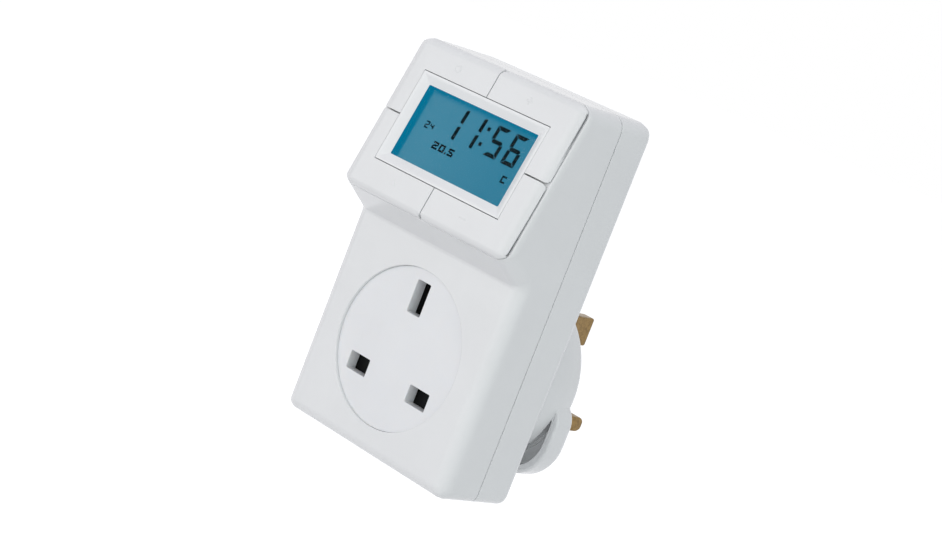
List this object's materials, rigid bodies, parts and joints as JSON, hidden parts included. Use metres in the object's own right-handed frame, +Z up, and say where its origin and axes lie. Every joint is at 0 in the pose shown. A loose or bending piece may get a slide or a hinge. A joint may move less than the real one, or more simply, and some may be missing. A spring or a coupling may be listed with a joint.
{
  "type": "plug-in timer thermostat",
  "caption": "Plug-through mains timer thermostat: upright housing with a shuttered socket below a tilted display head with corner buttons, and plug pins on a finger-grip boss behind.",
  "frame": {"origin": "on the plug face, midway between the live and neutral pins", "axes": "+Z up towards the earth pin and the display head, +Y out of the plug face towards the wall outlet, +X to the right seen from the front"},
  "size_m": [0.06, 0.0794, 0.1015],
  "materials": {
    "shell_plastic": "fine satin moulded plastic, pale grey-white",
    "disc_plastic": "fine satin moulded plastic, pale grey-white",
    "button_plastic": "fine satin moulded plastic, pale grey-white",
    "bezel_plastic": "fine satin moulded plastic, pale grey-white",
    "block_plastic": "dark moulded insulation",
    "shutter_plastic": "black moulded plastic",
    "sleeve_plastic": "black insulating sleeve",
    "switch_plastic": "black moulded switch body",
    "plunger_plastic": "ivory moulded plastic",
    "pin_brass": "bright drawn brass with fine wear",
    "contact_brass": "stamped spring brass",
    "spring_steel": "drawn spring steel",
    "screw_steel": "zinc plated steel",
    "clear_window": "clear moulded window",
    "display_glass": "backlit blue display glass",
    "guide_plastic": "translucent light guide",
    "strip_rubber": "conductive elastomer",
    "circuit_board": "green solder resist on glass epoxy",
    "chip_plastic": "black moulded package",
    "cell_steel": "nickel plated steel can",
    "relay_plastic": "blue moulded relay case",
    "capacitor_plastic": "yellow moulded capacitor case",
    "can_aluminium": "sleeved aluminium can",
    "varistor_lacquer": "blue dipped lacquer",
    "live_insulation": "brown flexible insulation",
    "neutral_insulation": "blue flexible insulation",
    "ribbon_insulation": "grey flat cable",
    "header_plastic": "natural moulded connector",
    "bead_epoxy": "black epoxy bead"
  },
  "bodies": {
    "case": {"front_shell": "shell_plastic", "rear_cover": "shell_plastic", "socket_disc": "disc_plastic", "contact_block": "block_plastic", "shutter_spring": "spring_steel", "live_contact": "contact_brass", "neutral_contact": "contact_brass", "earth_contact": "contact_brass", "live_pin": "pin_brass", "neutral_pin": "pin_brass", "earth_pin": "pin_brass", "pin_sleeves": "sleeve_plastic", "pin_carrier": "block_plastic", "carrier_screws": "screw_steel", "tail_rivets": "screw_steel", "block_screws": "screw_steel", "case_screws": "screw_steel", "display_bezel": "bezel_plastic", "display_window": "clear_window", "lcd_panel": "display_glass", "light_guide": "guide_plastic", "contact_strips": "strip_rubber", "display_board": "circuit_board", "switch_bodies": "switch_plastic", "display_screws": "screw_steel", "controller_chip": "chip_plastic", "backup_cell": "cell_steel", "cell_clip": "spring_steel", "power_board": "circuit_board", "power_screws": "screw_steel", "relay": "relay_plastic", "mains_capacitor": "capacitor_plastic", "smoothing_capacitor": "can_aluminium", "varistor": "varistor_lacquer", "live_in_lead": "live_insulation", "live_out_lead": "live_insulation", "neutral_lead": "neutral_insulation", "ribbon_cable": "ribbon_insulation", "ribbon_headers": "header_plastic", "thermistor": "bead_epoxy"},
    "top_left_button": {"button_top_left": "button_plastic", "plunger_top_left": "plunger_plastic"},
    "top_right_button": {"button_top_right": "button_plastic", "plunger_top_right": "plunger_plastic"},
    "bottom_left_button": {"button_bottom_left": "button_plastic", "plunger_bottom_left": "plunger_plastic"},
    "bottom_right_button": {"button_bottom_right": "button_plastic", "plunger_bottom_right": "plunger_plastic"},
    "shutter_slide": {"shutter": "shutter_plastic"}
  },
  "joints": [
    {"name": "top_left_press", "type": "slide", "parent": "case", "child": "top_left_button", "axis": [0, 0.9732, -0.23], "range_m": [0, 0.00025], "stiffness_N_per_m": 1200, "springref_m": -0.0005},
    {"name": "top_right_press", "type": "slide", "parent": "case", "child": "top_right_button", "axis": [0, 0.9732, -0.23], "range_m": [0, 0.00025], "stiffness_N_per_m": 1200, "springref_m": -0.0005},
    {"name": "bottom_left_press", "type": "slide", "parent": "case", "child": "bottom_left_button", "axis": [0, 0.9732, -0.23], "range_m": [0, 0.00025], "stiffness_N_per_m": 1200, "springref_m": -0.0005},
    {"name": "bottom_right_press", "type": "slide", "parent": "case", "child": "bottom_right_button", "axis": [0, 0.9732, -0.23], "range_m": [0, 0.00025], "stiffness_N_per_m": 1200, "springref_m": -0.0005},
    {"name": "shutter_drop", "type": "slide", "parent": "case", "child": "shutter_slide", "axis": [0, 0, -1], "range_m": [0, 0.0058], "stiffness_N_per_m": 120, "springref_m": -0.004, "deforming": ["shutter_spring"]}
  ]
}
